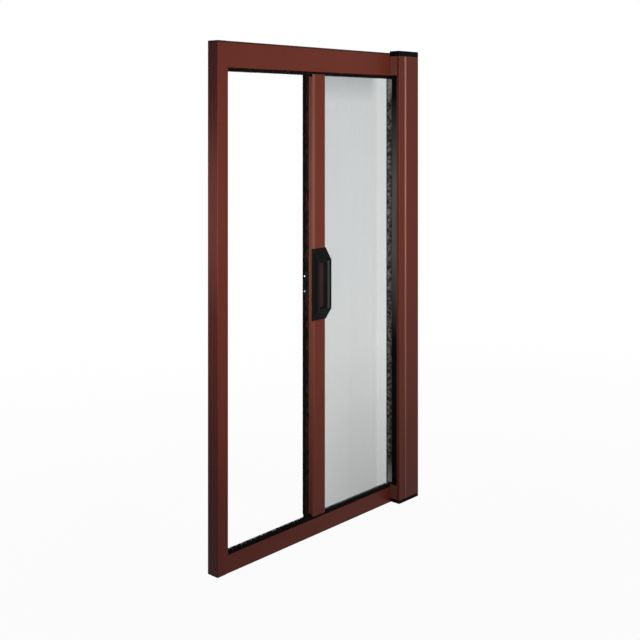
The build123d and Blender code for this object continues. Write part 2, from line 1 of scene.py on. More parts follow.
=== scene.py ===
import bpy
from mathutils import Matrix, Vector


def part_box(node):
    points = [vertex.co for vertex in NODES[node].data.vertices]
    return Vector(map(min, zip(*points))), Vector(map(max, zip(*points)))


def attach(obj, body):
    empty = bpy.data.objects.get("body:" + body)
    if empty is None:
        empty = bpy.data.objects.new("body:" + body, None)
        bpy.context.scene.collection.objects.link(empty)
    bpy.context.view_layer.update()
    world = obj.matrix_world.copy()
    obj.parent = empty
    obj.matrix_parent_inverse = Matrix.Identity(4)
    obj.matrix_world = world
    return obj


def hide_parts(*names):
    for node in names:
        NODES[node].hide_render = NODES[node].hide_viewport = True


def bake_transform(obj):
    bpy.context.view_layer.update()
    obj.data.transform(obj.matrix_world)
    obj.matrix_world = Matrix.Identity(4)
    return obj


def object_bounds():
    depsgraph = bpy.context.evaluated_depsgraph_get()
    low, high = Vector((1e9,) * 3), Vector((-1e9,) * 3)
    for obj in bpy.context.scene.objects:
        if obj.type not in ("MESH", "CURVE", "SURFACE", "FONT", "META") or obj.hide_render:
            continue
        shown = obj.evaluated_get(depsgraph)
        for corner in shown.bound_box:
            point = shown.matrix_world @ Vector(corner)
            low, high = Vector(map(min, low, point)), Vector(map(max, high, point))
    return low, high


bl_info = {
    "name": "Retractable Screen Door Finishes",
    "version": (1, 0, 0),
    "blender": (4, 5, 0),
    "location": "3D View > Sidebar > Screen Door",
    "description": "Finishes, screen mesh, brush pile and screws for a retractable screen door",
    "category": "Object",
}

import math

import bmesh
import bpy
import numpy as np
from bpy.props import (
    FloatProperty,
    FloatVectorProperty,
    IntProperty,
    PointerProperty,
)
from mathutils import Matrix, Vector

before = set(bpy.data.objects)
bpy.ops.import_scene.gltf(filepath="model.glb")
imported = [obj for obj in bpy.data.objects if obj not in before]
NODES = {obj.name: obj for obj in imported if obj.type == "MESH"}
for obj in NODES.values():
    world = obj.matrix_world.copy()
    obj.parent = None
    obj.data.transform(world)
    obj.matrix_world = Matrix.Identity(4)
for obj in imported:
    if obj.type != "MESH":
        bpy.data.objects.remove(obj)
CAD_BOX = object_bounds()

# Solids that share a finish
FRAME_PARTS = ("strike_jamb", "strike_channel", "head_rail", "sill_rail")
CASSETTE_PARTS = ("cassette_body", "cassette_cover")
END_PARTS = ("jamb_cap", "cassette_cap", "roller_hub", "bar_cap", "guide_shoe")
MOULDED_PARTS = (
    *(f"{part}_{end}" for part in END_PARTS for end in ("bottom", "top")),
    "mouth_carrier_back",
    "mesh_clip",
    "latch_case",
)
RUBBER_PARTS = (
    *(f"strike_strip_{half}" for half in ("lower", "upper")),
    *(f"closing_strip_{half}" for half in ("lower", "upper")),
)
# Latch steel, dark partly from its own finish and partly as painted shade of its recess and the hook's slot.
DARK_AND_SHADED_STEEL_PARTS = ("latch_plate", "latch_hook")

# What the colours on the panel have in common
COLOUR = {"subtype": "COLOR", "size": 3, "min": 0.0, "max": 1.0}

# How far a pattern is drawn out along X, Y and Z: a small share makes it long on that axis
PATCH_STRETCH = (1.0, 1.0, 0.15)
DRAWN_STRETCH = (1.0, 1.0, 0.05)
TURNED_STRETCH = (1.0, 1.0, 0.02)
EVEN_STRETCH = (1.0, 1.0, 1.0)


class ScreenDoorCoat(bpy.types.PropertyGroup):
    """Colour and surface of the coated aluminium"""

    frame_colour: FloatVectorProperty(
        name="Frame colour",
        description="Coat on the jamb and the rails",
        default=(0.118, 0.0212, 0.0118),
        **COLOUR,
    )
    cassette_colour: FloatVectorProperty(
        name="Cassette colour",
        description="Coat on the cassette and its cover",
        default=(0.099, 0.0167, 0.0092),
        **COLOUR,
    )
    bar_colour: FloatVectorProperty(
        name="Pull bar colour",
        description="Coat on the pull bar, which hands keep clean",
        default=(0.117, 0.0226, 0.0122),
        **COLOUR,
    )
    # Painted highlight: a pale coat colour laid where light catches an edge or a face.
    highlight_colour: FloatVectorProperty(
        name="Rubbed colour",
        description="Coat where an edge is rubbed bright",
        default=(0.42, 0.21, 0.155),
        **COLOUR,
    )
    grain_size: FloatProperty(
        name="Grain size",
        description="Distance between the ripples of the coat",
        unit="LENGTH",
        min=0.0002,
        max=0.01,
        default=0.0016,
    )
    grain_height: FloatProperty(
        name="Grain height",
        description="Height of the ripples of the coat",
        unit="LENGTH",
        min=0.0,
        max=0.0005,
        default=0.00003,
    )


class ScreenDoorMesh(bpy.types.PropertyGroup):
    """Size and colour of the insect mesh"""

    thread_colour: FloatVectorProperty(
        name="Thread colour",
        description="Colour of the coated glass threads",
        default=(0.115, 0.15, 0.155),
        **COLOUR,
    )
    pitch: FloatProperty(
        name="Thread pitch",
        description="Distance from one thread to the next",
        unit="LENGTH",
        min=0.0005,
        max=0.005,
        default=0.0014,
    )
    thread: FloatProperty(
        name="Thread width",
        description="Width of one thread",
        unit="LENGTH",
        min=0.0001,
        max=0.001,
        default=0.00028,
    )
    ripple: FloatProperty(
        name="Ripple",
        description="How far the cloth waves out of its plane",
        unit="LENGTH",
        min=0.0,
        max=0.003,
        default=0.0007,
    )


class ScreenDoorPile(bpy.types.PropertyGroup):
    """Size and colour of the brush strips' pile"""

    dark: FloatVectorProperty(
        name="Rail pile colour",
        description="Colour of the brushes in the rails",
        default=(0.011, 0.006, 0.0055),
        **COLOUR,
    )
    pale: FloatVectorProperty(
        name="Mouth pile colour",
        description="Pale fibres of the pile in the cassette's mouth",
        default=(0.75, 0.69, 0.64),
        **COLOUR,
    )
    fibre: FloatProperty(
        name="Fibre width",
        description="Width of one tuft of fibres at its root",
        unit="LENGTH",
        min=0.0002,
        max=0.003,
        default=0.0009,
    )
    seed: IntProperty(
        name="Seed",
        description="Number that settles how the fibres fall",
        min=0,
        default=7,
    )


class ScreenDoorStage(bpy.types.PropertyGroup):
    """Light and camera"""

    lens: FloatProperty(
        name="Lens",
        description="Focal length of the camera",
        unit="CAMERA",
        min=10.0,
        max=300.0,
        default=58.05,
    )
    lamp: FloatProperty(
        name="Lamp power",
        description="Power of which each lamp takes its own share",
        unit="POWER",
        min=0.0,
        max=2000.0,
        default=22.0,
    )
    sky: FloatProperty(
        name="Room light",
        description="Strength of the light from all round",
        min=0.0,
        max=2.0,
        default=0.2,
    )


def new_group(name, inputs, outputs):
    """A shader group with named sockets, and its two end nodes."""
    group = bpy.data.node_groups.new(name, "ShaderNodeTree")
    for label, kind, value in inputs:
        socket = group.interface.new_socket(name=label, in_out="INPUT", socket_type=kind)
        socket.default_value = value
    for label, kind in outputs:
        group.interface.new_socket(name=label, in_out="OUTPUT", socket_type=kind)
    return group, group.nodes.new("NodeGroupInput"), group.nodes.new("NodeGroupOutput")


def join(tree, source, socket):
    """Links another node's output to a socket, or sets a plain value on it."""
    if isinstance(source, bpy.types.NodeSocket):
        tree.links.new(source, socket)
    else:
        socket.default_value = source


def feed(tree, node, **sources):
    """Joins values or outputs to a node's inputs, whose names have _ for a space."""
    for label, source in sources.items():
        join(tree, source, node.inputs[label.replace("_", " ")])


def add_node(tree, kind, links=None, **values):
    """A node of a tree, with its settings, its plain values and what feeds it."""
    node = tree.nodes.new(kind)
    for label, value in values.items():
        setattr(node, label, value)
    for socket, source in (links or {}).items():
        join(tree, source, node.inputs[socket])
    return node


def arithmetic(tree, operation, *terms):
    """The result of a math node on numbers or other nodes' outputs."""
    return add_node(tree, "ShaderNodeMath", dict(enumerate(terms)), operation=operation).outputs[0]


def plus(tree, first, *others):
    """The sum of two or more terms."""
    for other in others:
        first = arithmetic(tree, "ADD", first, other)
    return first


def minus(tree, first, second):
    """What is left of the first term without the second."""
    return arithmetic(tree, "SUBTRACT", first, second)


def times(tree, first, second):
    """The product of two terms."""
    return arithmetic(tree, "MULTIPLY", first, second)


def over(tree, first, second):
    """The first term divided by the second."""
    return arithmetic(tree, "DIVIDE", first, second)


def opaque(colour):
    """A colour with full alpha."""
    return (*colour, 1.0)


def blend_colour(tree, share, first, second, mode="MIX"):
    """The colour that a share of the second colour makes over the first."""
    links = {0: share, 6: first, 7: second}
    return add_node(tree, "ShaderNodeMix", links, data_type="RGBA", blend_type=mode).outputs[2]


def grey(tree, tone):
    """A colour with one value in all three channels."""
    return add_node(tree, "ShaderNodeCombineColor", {0: tone, 1: tone, 2: tone}).outputs[0]


def remap(tree, value, low, high, to_low=0.0, to_high=1.0):
    """A value carried from one span to another, and held inside it."""
    links = {0: value, 1: low, 2: high, 3: to_low, 4: to_high}
    return add_node(tree, "ShaderNodeMapRange", links, clamp=True).outputs[0]


def object_place(tree):
    """The place on the object, as a vector."""
    return add_node(tree, "ShaderNodeTexCoord").outputs["Object"]


def axes(tree, vector):
    """The X, Y and Z of a vector."""
    return tuple(add_node(tree, "ShaderNodeSeparateXYZ", {0: vector}).outputs)


def speckle(tree, place, scale, detail=2.0, stretch=None):
    """A noise value at a place, finer as the scale grows."""
    if stretch:
        place = add_node(tree, "ShaderNodeMapping", {"Vector": place, "Scale": stretch}).outputs[0]
    links = {"Vector": place, "Scale": scale, "Detail": detail}
    return add_node(tree, "ShaderNodeTexNoise", links).outputs[0]


def coat_group():
    """Ripples and faint clouds of a powder coat, with dust where it can settle."""
    group, start, end = new_group(
        "Powder Coat Surface",
        [
            ("Color", "NodeSocketColor", (0.2, 0.05, 0.03, 1.0)),
            ("Grain Size", "NodeSocketFloat", 0.0016),
            ("Clouding", "NodeSocketFloat", 0.2),
            ("Roughness", "NodeSocketFloat", 0.42),
        ],
        [
            ("Color", "NodeSocketColor"),
            ("Roughness", "NodeSocketFloat"),
            ("Height", "NodeSocketFloat"),
        ],
    )
    given = start.outputs
    clouded_tint = (0.62, 0.6, 0.6, 1.0)
    dust = (0.5, 0.45, 0.4, 1.0)
    place = object_place(group)
    ripple = speckle(group, place, over(group, 0.6, given["Grain Size"]), 1.0)
    cloud = speckle(group, place, 6.0, 3.0, (1.0, 1.0, 0.35))
    flow = speckle(group, place, 60.0, 2.0, DRAWN_STRETCH)
    mottle = plus(group, times(group, cloud, 0.7), times(group, flow, 0.3))

    clouding = times(group, remap(group, mottle, 0.35, 0.65), given["Clouding"])
    darker = blend_colour(group, 1.0, given["Color"], clouded_tint, "MULTIPLY")
    paint = blend_colour(group, clouding, given["Color"], darker)
    upward = axes(group, add_node(group, "ShaderNodeNewGeometry").outputs["Normal"])[2]
    facing_up = remap(group, upward, 0.7, 1.0)
    settled = times(group, facing_up, remap(group, cloud, 0.3, 0.7, 0.04, 0.16))

    uneven = times(group, minus(group, mottle, 0.5), 0.18)
    dusty = times(group, settled, 1.5)
    feed(
        group,
        end,
        Color=blend_colour(group, settled, paint, dust),
        Roughness=plus(group, given["Roughness"], plus(group, uneven, dusty)),
        Height=ripple,
    )


def mould_group():
    """The fine spark-eroded grain of moulded plastic, and its grey bloom."""
    group, start, end = new_group(
        "Moulded Grain",
        [
            ("Color", "NodeSocketColor", (0.01, 0.01, 0.01, 1.0)),
            ("Bloom", "NodeSocketColor", (0.05, 0.05, 0.05, 1.0)),
            ("Grain Size", "NodeSocketFloat", 0.0007),
            ("Roughness", "NodeSocketFloat", 0.5),
        ],
        [
            ("Color", "NodeSocketColor"),
            ("Roughness", "NodeSocketFloat"),
            ("Height", "NodeSocketFloat"),
        ],
    )
    given = start.outputs
    place = object_place(group)
    fineness = over(group, 0.8, given["Grain Size"])
    pits = add_node(group, "ShaderNodeTexVoronoi", {"Vector": place, "Scale": fineness}).outputs["Distance"]
    haze = speckle(group, place, 25.0, 4.0)
    share = remap(group, haze, 0.45, 0.75, 0.0, 0.35)
    uneven = times(group, minus(group, haze, 0.5), 0.3)
    feed(
        group,
        end,
        Color=blend_colour(group, share, given["Color"], given["Bloom"]),
        Roughness=plus(group, given["Roughness"], uneven),
        Height=pits,
    )


def pile_group():
    """Fibres in tufts of paler and darker yarn."""
    group, start, end = new_group(
        "Pile Tufts",
        [
            ("Dark", "NodeSocketColor", (0.01, 0.01, 0.01, 1.0)),
            ("Pale", "NodeSocketColor", (0.1, 0.1, 0.1, 1.0)),
            ("Tuft Size", "NodeSocketFloat", 0.03),
        ],
        [("Color", "NodeSocketColor")],
    )
    given = start.outputs
    place = object_place(group)
    tufts = speckle(group, place, over(group, 1.0, given["Tuft Size"]), 3.0)
    strands = speckle(group, place, 900.0, 1.0)
    tone = plus(group, times(group, tufts, 0.75), times(group, strands, 0.25))
    share = remap(group, tone, 0.43, 0.6)
    feed(group, end, Color=blend_colour(group, share, given["Dark"], given["Pale"]))


def weave_group():
    """The square weave of insect mesh: where a thread lies, and how high it stands."""
    group, start, end = new_group(
        "Square Weave",
        [
            ("Pitch", "NodeSocketFloat", 0.0014),
            ("Thread", "NodeSocketFloat", 0.00028),
        ],
        [("Mask", "NodeSocketFloat"), ("Height", "NodeSocketFloat")],
    )
    given = start.outputs
    blur = 0.04
    half = times(group, over(group, given["Thread"], given["Pitch"]), 0.5)
    edge = minus(group, 0.5, half)
    x, _, z = axes(group, object_place(group))
    covers = []
    for across in (x, z):
        turn = arithmetic(group, "FRACT", over(group, across, given["Pitch"]))
        offset = arithmetic(group, "ABSOLUTE", minus(group, turn, 0.5))
        covers.append(remap(group, offset, minus(group, edge, blur), plus(group, edge, blur)))
    feed(group, end, Mask=arithmetic(group, "MAXIMUM", *covers), Height=plus(group, *covers))


def new_material(name):
    """An empty material, its tree and its shader."""
    material = bpy.data.materials.new(name)
    material.use_nodes = True
    tree = material.node_tree
    return material, tree, tree.nodes["Principled BSDF"]


def place_group(tree, name, **values):
    """A shared effect placed in a material with its own values."""
    node = tree.nodes.new("ShaderNodeGroup")
    node.node_tree = bpy.data.node_groups[name]
    feed(tree, node, **values)
    return node.outputs


def add_bump(tree, shader, height, distance, strength=1.0):
    """Feeds a height into the shader's normal."""
    links = {"Height": height, "Distance": distance, "Strength": strength}
    feed(tree, shader, Normal=add_node(tree, "ShaderNodeBump", links).outputs[0])


def place_mask(tree, parts, spans, soft):
    """A mask that is 1 inside spans of X, Y and Z and fades at their ends.

    A span of None leaves its axis open. soft is the fade's length, or one for each axis.
    """
    softs = soft if isinstance(soft, tuple) else (soft, soft, soft)
    mask = None
    for part, span, fade in zip(parts, spans, softs):
        if span:
            low, high = span
            rising = remap(tree, part, low, low + fade)
            falling = remap(tree, part, high - fade, high, 1.0, 0.0)
            inside = times(tree, rising, falling)
            mask = times(tree, mask, inside) if mask else inside
    return mask


def paint_over(tree, paint, patches):
    """A colour with patches laid over it a little unevenly, each (colour, spans, soft, share).

    share is a number, or (low, high, share at low, share at high) where it follows the height.
    """
    place = object_place(tree)
    parts = axes(tree, place)
    # Uneven spread for the patches, which are mostly painted light and shade.
    uneven = remap(tree, speckle(tree, place, 30.0, 3.0, PATCH_STRETCH), 0.3, 0.7, 0.75, 1.0)
    for colour, spans, soft, share in patches:
        if isinstance(share, tuple):
            share = remap(tree, parts[2], *share)
        mask = times(tree, place_mask(tree, parts, spans, soft), uneven)
        paint = blend_colour(tree, times(tree, mask, share), paint, opaque(colour))
    return paint


def coat_material(name, colour, coat, patches):
    """Powder-coated aluminium with patches of painted light and shade laid over it."""
    material, tree, shader = new_material(name)
    surface = place_group(tree, "Powder Coat Surface", Color=opaque(colour), Grain_Size=coat.grain_size)
    feed(
        tree,
        shader,
        Base_Color=paint_over(tree, surface["Color"], patches),
        Roughness=surface["Roughness"],
        Specular_IOR_Level=0.12,
    )
    add_bump(tree, shader, surface["Height"], coat.grain_height)
    return material


def mould_material(name, colour, bloom, roughness, specular, grain=0.0007):
    """Moulded black plastic or rubber."""
    material, tree, shader = new_material(name)
    surface = place_group(
        tree,
        "Moulded Grain",
        Color=opaque(colour),
        Bloom=opaque(bloom),
        Grain_Size=grain,
        Roughness=roughness,
    )
    feed(
        tree,
        shader,
        Base_Color=surface["Color"],
        Roughness=surface["Roughness"],
        Specular_IOR_Level=specular,
    )
    add_bump(tree, shader, surface["Height"], 0.00004)
    return material


def metal_material(name, colour, roughness, stretch):
    """Bare metal with a drawn or turned grain."""
    material, tree, shader = new_material(name)
    lines = speckle(tree, object_place(tree), 400.0, 3.0, stretch)
    tone = grey(tree, remap(tree, lines, 0.3, 0.7, 0.8, 1.0))
    feed(
        tree,
        shader,
        Base_Color=blend_colour(tree, 1.0, opaque(colour), tone, "MULTIPLY"),
        Roughness=remap(tree, lines, 0.3, 0.7, roughness - 0.08, roughness + 0.1),
        Metallic=1.0,
    )
    add_bump(tree, shader, lines, 0.00001)
    return material


def pile_material(name, dark, pale, tuft, fading=None):
    """Brush pile in two yarns. fading holds the Y where dark covers most of it, and the Y where that ends."""
    material, tree, shader = new_material(name)
    paint = place_group(tree, "Pile Tufts", Dark=opaque(dark), Pale=opaque(pale), Tuft_Size=tuft)["Color"]
    if fading:
        share = remap(tree, axes(tree, object_place(tree))[1], *fading, 0.75, 0.0)
        paint = blend_colour(tree, share, paint, opaque(dark))
    feed(tree, shader, Base_Color=paint, Roughness=0.85, Specular_IOR_Level=0.1, Sheen_Weight=0.1)
    return material


def screen_material(name, screen, open_weave):
    """Insect mesh: see-through where it hangs, and dense where it is rolled up."""
    material, tree, shader = new_material(name)
    weave = place_group(tree, "Square Weave", Pitch=screen.pitch, Thread=screen.thread)
    place = object_place(tree)
    streaks = speckle(tree, place, 14.0, 2.0, TURNED_STRETCH)
    tint = grey(tree, remap(tree, streaks, 0.3, 0.7, 0.92, 1.05))
    feed(
        tree,
        shader,
        Base_Color=blend_colour(tree, 1.0, opaque(screen.thread_colour), tint, "MULTIPLY"),
        Roughness=0.7,
        Specular_IOR_Level=0.2,
    )
    add_bump(tree, shader, weave["Height"], 0.0001, 0.4)
    if open_weave:
        thread = times(tree, minus(tree, weave["Mask"], 0.36), 0.3)
        feed(tree, shader, Alpha=plus(tree, screen_cover(tree, place, streaks), thread))
    return material


def screen_cover(tree, place, streaks):
    """How much the hanging mesh hides, apart from its weave. The extra cover at its foot, towards its top and
    under the head rail is painted shade; a band next to the cassette is hidden a little less.
    """
    x, _, z = axes(tree, place)
    # Painted shade: denser at the foot, less so next to the pull bar.
    foot = times(tree, remap(tree, z, 0.1, 0.75, 0.2, 0.0), remap(tree, x, 0.03, 0.2, 0.65, 1.0))
    # Painted shadow under the head rail, fading next to the cassette.
    head = times(tree, remap(tree, z, 1.82, 1.94, 0.0, 0.22), remap(tree, x, 0.33, 0.38, 1.0, 0.1))
    # Painted shade growing towards the top, less in a band next to the cassette.
    middle = minus(tree, remap(tree, z, 0.9, 1.82, 0.0, 0.052), remap(tree, x, 0.37, 0.385, 0.0, 0.06))
    cloud = remap(tree, speckle(tree, place, 3.0, 2.0), 0.35, 0.65, -0.008, 0.008)
    return plus(tree, remap(tree, streaks, 0.35, 0.65, 0.419, 0.434), foot, head, middle, cloud)


def painted(material):
    """A material's tree, the socket of its base colour, and what feeds that."""
    tree = material.node_tree
    base = tree.nodes["Principled BSDF"].inputs["Base Color"]
    return tree, base, base.links[0].from_socket


def repaint(material, patches):
    """Lays patches over the colour that a material has."""
    tree, base, paint = painted(material)
    tree.links.new(paint_over(tree, paint, patches), base)


def dress(names, material):
    """Puts a material on CAD nodes."""
    for name in names:
        for slot in NODES[name].material_slots:
            slot.material = material


def link_object(name, data):
    """An object in the scene that shows some data."""
    item = bpy.data.objects.new(name, data)
    bpy.context.scene.collection.objects.link(item)
    return item


def new_object(name, verts, faces, material, smooth=False):
    """A mesh object from plain lists, with one material."""
    mesh = bpy.data.meshes.new(name)
    mesh.from_pydata(verts, [], faces)
    mesh.materials.append(material)
    mesh.polygons.foreach_set("use_smooth", [smooth] * len(mesh.polygons))
    mesh.update()
    return link_object(name, mesh)


def smooth_noise(places, rng, spacing, span):
    """A value between -1 and 1 that wanders along one length."""
    knots = rng.uniform(-1.0, 1.0, int(span / spacing) + 4)
    return np.interp(places, np.arange(len(knots)) * spacing, knots)


def unit_rows(rows):
    """Rows brought to length 1."""
    return rows / (np.linalg.norm(rows, axis=1)[:, None] + 1e-12)


def fibres(name, roots, tips, width, rng, material, blunt=0.45):
    """Fibres from roots to tips, each with a bent middle and its own turn.

    blunt is the share of its width that a fibre has left at its tip.
    """
    count = len(roots)
    line = tips - roots
    turn = rng.normal(size=(count, 3))
    side = unit_rows(np.cross(line, turn)) * (width * rng.uniform(0.35, 0.65, count))[:, None]
    bend = np.linalg.norm(line, axis=1) * rng.uniform(-0.06, 0.06, count)
    middle = roots + line * 0.55 + unit_rows(np.cross(side, line)) * bend[:, None]
    levels = ((roots, -side), (middle, side * 0.9), (tips, side * blunt))
    outline = [place + way * half for place, half in levels for way in (1, -1)]
    points = np.stack(outline, axis=1)
    base = np.arange(count)[:, None] * len(outline)
    faces = np.concatenate([base + np.array([[0, 1, 2, 3]]), base + np.array([[3, 2, 4, 5]])])
    return new_object(name, points.reshape(-1, 3).tolist(), faces.tolist(), material)


class SCREENDOOR_OT_surfaces(bpy.types.Operator):
    """Build the shared surface effects and put the finishes on the rigid parts"""

    bl_idname = "screendoor.surfaces"
    bl_label = "Finish the Rigid Parts"

    def execute(self, context):
        coat = context.scene.screendoor_coat
        for build in (coat_group, mould_group, pile_group, weave_group):
            build()
        # A shaded copy of the frame colour, used as painted shade on the frame and the pull bar.
        dark = tuple(0.2 * channel for channel in coat.frame_colour)
        dress(FRAME_PARTS, self.frame_coat(coat, dark))
        dress(CASSETTE_PARTS, self.cassette_coat(coat))
        dress(("pull_bar",), self.bar_coat(coat, dark))
        plastic = mould_material("black_plastic", (0.002, 0.002, 0.0022), (0.005, 0.005, 0.0055), 0.55, 0.03)
        dress(MOULDED_PARTS, plastic)
        dress(("mouth_carrier_front",), self.carrier_plastic())
        dress(RUBBER_PARTS, self.magnetic_rubber())
        dress(("handle",), self.handle_plastic())
        # Latch steel: its own dark finish, darkened further as painted shade of the recess and the hook's
        # slot.
        dress(DARK_AND_SHADED_STEEL_PARTS, metal_material("dark_steel", (0.012, 0.016, 0.021), 0.35, DRAWN_STRETCH))
        dress(("strike_keeper",), metal_material("bright_steel", (0.62, 0.63, 0.65), 0.3, DRAWN_STRETCH))
        dress(("roller_tube",), metal_material("bare_aluminium", (0.8, 0.81, 0.82), 0.35, TURNED_STRETCH))
        dress(("mesh_roll",), screen_material("rolled_mesh", context.scene.screendoor_mesh, False))
        return {"FINISHED"}

    def frame_coat(self, coat, dark):
        """Coat of the fixed frame, with painted shade at its foot, along its top and on the jamb's inner
        edge.

        On the jamb's outer side, painted light at eye height gives way to painted shade towards both ends.
        """
        jamb_low, jamb_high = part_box("strike_jamb")
        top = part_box("head_rail")[1].z
        outside = (jamb_low.x - 0.002, jamb_low.x + 0.0012)
        inside = (jamb_high.x - 0.004, jamb_high.x + 0.001)
        sharp = 0.0004
        shaded, lit = (0.05, 0.0, 0.0), (0.171, 0.0477, 0.0343)
        # Painted shade on the outer side's two ends and painted light in its middle, then bands of painted
        # shade along the top, at the foot and on the inner edge.
        patches = (
            (shaded, (outside, None, (-0.85, 1.25)), (sharp, sharp, 0.85), 1.0),
            (shaded, (outside, None, (1.62, 3.0)), (sharp, sharp, 0.31), 1.0),
            (lit, (outside, None, (1.0, 1.75)), (sharp, sharp, 0.25), 1.0),
            (dark, (None, None, (top - 0.009, top + 0.01)), 0.004, 0.9),
            (dark, (None, None, (-0.01, 0.008)), 0.005, 0.7),
            (dark, (inside, None, (0.06, 1.95)), 0.002, 0.35),
        )
        return coat_material("frame_coat", coat.frame_colour, coat, patches)

    def cassette_coat(self, coat):
        """Coat of the cassette, with a painted highlight along the seam's bead and on the outer corner, and
        painted light on the mouth's edge, which lies in shade.
        """
        body_low, body_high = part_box("cassette_body")
        cover_low, cover_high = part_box("cassette_cover")
        front, right = body_low.y, body_high.x
        rail_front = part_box("sill_rail")[0].y
        tongue = 0.008
        seam = cover_high.x - tongue
        bead = ((seam - 0.0065, seam + 0.0085), (front - 0.006, front + 0.003), None)
        corner = ((right - 0.011, right + 0.003), (front - 0.003, front + 0.02), None)
        mouth = ((cover_low.x - 0.002, cover_low.x + 0.002), (cover_high.y - 0.001, rail_front + 0.002), None)
        # Painted highlights on the bead and the outer corner, and painted light on the mouth's edge.
        patches = (
            (coat.highlight_colour, bead, 0.0025, (0.0, 1.5, 0.2496, 0.78)),
            (coat.highlight_colour, corner, 0.003, (0.2, 1.2, 0.01, 0.1)),
            (coat.highlight_colour, mouth, 0.0008, (0.0, 2.0, 0.176, 0.22)),
        )
        return coat_material("cassette_coat", coat.cassette_colour, coat, patches)

    def bar_coat(self, coat, dark):
        """Coat of the pull bar, with painted shade beside the mesh, a painted shadow behind the latch, and
        painted highlights on its front corner and its side.
        """
        low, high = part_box("pull_bar")
        latch_low, latch_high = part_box("latch_plate")
        beside_mesh = ((high.x - 0.005, high.x + 0.001), None, None)
        behind_latch = (
            (low.x - 0.01, low.x + 0.02),
            (high.y - 0.0035, high.y + 0.002),
            (latch_low.z - 0.001, latch_high.z + 0.001),
        )
        corner = ((low.x + 0.0005, low.x + 0.0175), (low.y - 0.006, low.y + 0.003), None)
        flank = ((low.x - 0.002, low.x + 0.0008), (low.y + 0.004, low.y + 0.0197), None)
        # Painted shade at the edge beside the mesh, a painted shadow in the gap behind the latch, and painted
        # highlights on the front corner and along the side.
        patches = (
            (dark, beside_mesh, 0.004, 0.5),
            ((0.002, 0.002, 0.002), behind_latch, 0.001, 1.0),
            (coat.highlight_colour, corner, 0.004, (0.4, 1.4, 0.0, 0.3)),
            (coat.highlight_colour, flank, 0.0005, (0.1, 1.0, 0.045, 0.3)),
        )
        return coat_material("bar_coat", coat.bar_colour, coat, patches)

    def carrier_plastic(self):
        """Plastic of the front carrier, with a painted sheen on its upper part."""
        material = mould_material("carrier_plastic", (0.002, 0.002, 0.002), (0.006, 0.006, 0.006), 0.55, 0.03)
        # Painted sheen: a paler grey over the carrier's upper part.
        repaint(material, (((0.09, 0.088, 0.078), (None, None, (0.75, 1.86)), 0.4, 1.0),))
        return material

    def magnetic_rubber(self):
        """Magnetic rubber, black with brown scuffs that grow denser towards its front edge."""
        black, bloom, scuffed = (0.0018, 0.0015, 0.0013), (0.009, 0.005, 0.004), (0.052, 0.02, 0.012)
        material = mould_material("magnetic_rubber", black, bloom, 0.7, 0.05, 0.0015)
        tree, base, paint = painted(material)
        place = object_place(tree)
        scuffs = speckle(tree, place, 130.0, 3.0, (1.0, 1.0, 0.3))
        lean = remap(tree, axes(tree, place)[1], -0.009, 0.014, 0.16, -0.1)
        share = remap(tree, plus(tree, scuffs, lean), 0.47, 0.64)
        tree.links.new(blend_colour(tree, share, paint, opaque(scuffed)), base)
        return material

    def handle_plastic(self):
        """Plastic of the handle, with painted light on stretches measured from its low corner: highlights on
        its ridge and rim, and reflections in its pocket, on the pocket's wall and at its foot.
        """
        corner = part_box("handle")[0]
        # Painted light on the handle: highlights on the ridge and the rim, a brown reflection in the pocket,
        # a dim one on the pocket's shaded wall and a reddish one at the foot.
        tones = {
            "ridge_highlight": ((0.1, 0.14, 0.122), ((0.0545, 0.0695), (-0.002, 0.0015), (0.05, 0.253)), 0.003),
            "pocket_reflection": ((0.04, 0.021, 0.02), ((0.0145, 0.045), (0.006, 0.0165), (0.055, 0.248)), 0.002),
            "wall_reflection": ((0.012, 0.008, 0.0075), ((0.044, 0.0535), (0.0015, 0.0155), (0.055, 0.248)), 0.002),
            "foot": ((0.02, 0.008, 0.006), ((-0.002, 0.005), (0.022, 0.05), (-0.001, 0.304)), 0.004),
            "rim_highlight": ((0.01, 0.007, 0.006), ((-0.002, 0.0075), (-0.002, 0.006), (0.03, 0.275)), 0.002),
        }
        patches = []
        for colour, spans, soft in tones.values():
            placed = tuple((low + start, high + start) for (low, high), start in zip(spans, corner))
            patches.append((colour, placed, soft, 1.0))
        black, bloom = (0.002, 0.0022, 0.002), (0.007, 0.006, 0.0055)
        material = mould_material("handle_plastic", black, bloom, 0.5, 0.05, 0.0009)
        repaint(material, patches)
        return material


class SCREENDOOR_OT_screen(bpy.types.Operator):
    """Hang the insect mesh between the pull bar and the roller"""

    bl_idname = "screendoor.screen"
    bl_label = "Hang the Mesh"

    columns = 64
    rows = 96

    def execute(self, context):
        screen = context.scene.screendoor_mesh
        low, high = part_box("screen_mesh")
        middle_y = (low.y + high.y) / 2
        width, height = high.x - low.x, high.z - low.z
        across, up = np.meshgrid(np.linspace(0, 1, self.columns + 1), np.linspace(0, 1, self.rows + 1))
        spread = screen.ripple * self.wave(across, up)
        verts = np.stack([low.x + across * width, middle_y + spread, low.z + up * height], axis=-1)
        index = np.arange(across.size).reshape(across.shape)
        faces = np.stack([index[:-1, :-1], index[:-1, 1:], index[1:, 1:], index[1:, :-1]], axis=-1)
        sheet = new_object(
            "insect_mesh",
            verts.reshape(-1, 3).tolist(),
            faces.reshape(-1, 4).tolist(),
            screen_material("insect_mesh", screen, True),
            smooth=True,
        )
        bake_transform(sheet)
        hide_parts("screen_mesh")
        return {"FINISHED"}

    def wave(self, across, up):
        """Shallow upright folds, between -1 and 1, that die away at the mesh's four held edges."""
        held = np.sin(math.pi * across) ** 0.5 * np.sin(math.pi * up) ** 0.5
        narrow = np.sin(across * 17.0 + 0.9 * np.sin(up * 4.0))
        wide = np.sin(across * 7.0 + up * 2.0)
        return held * (narrow * 0.5 + wide * 0.5)


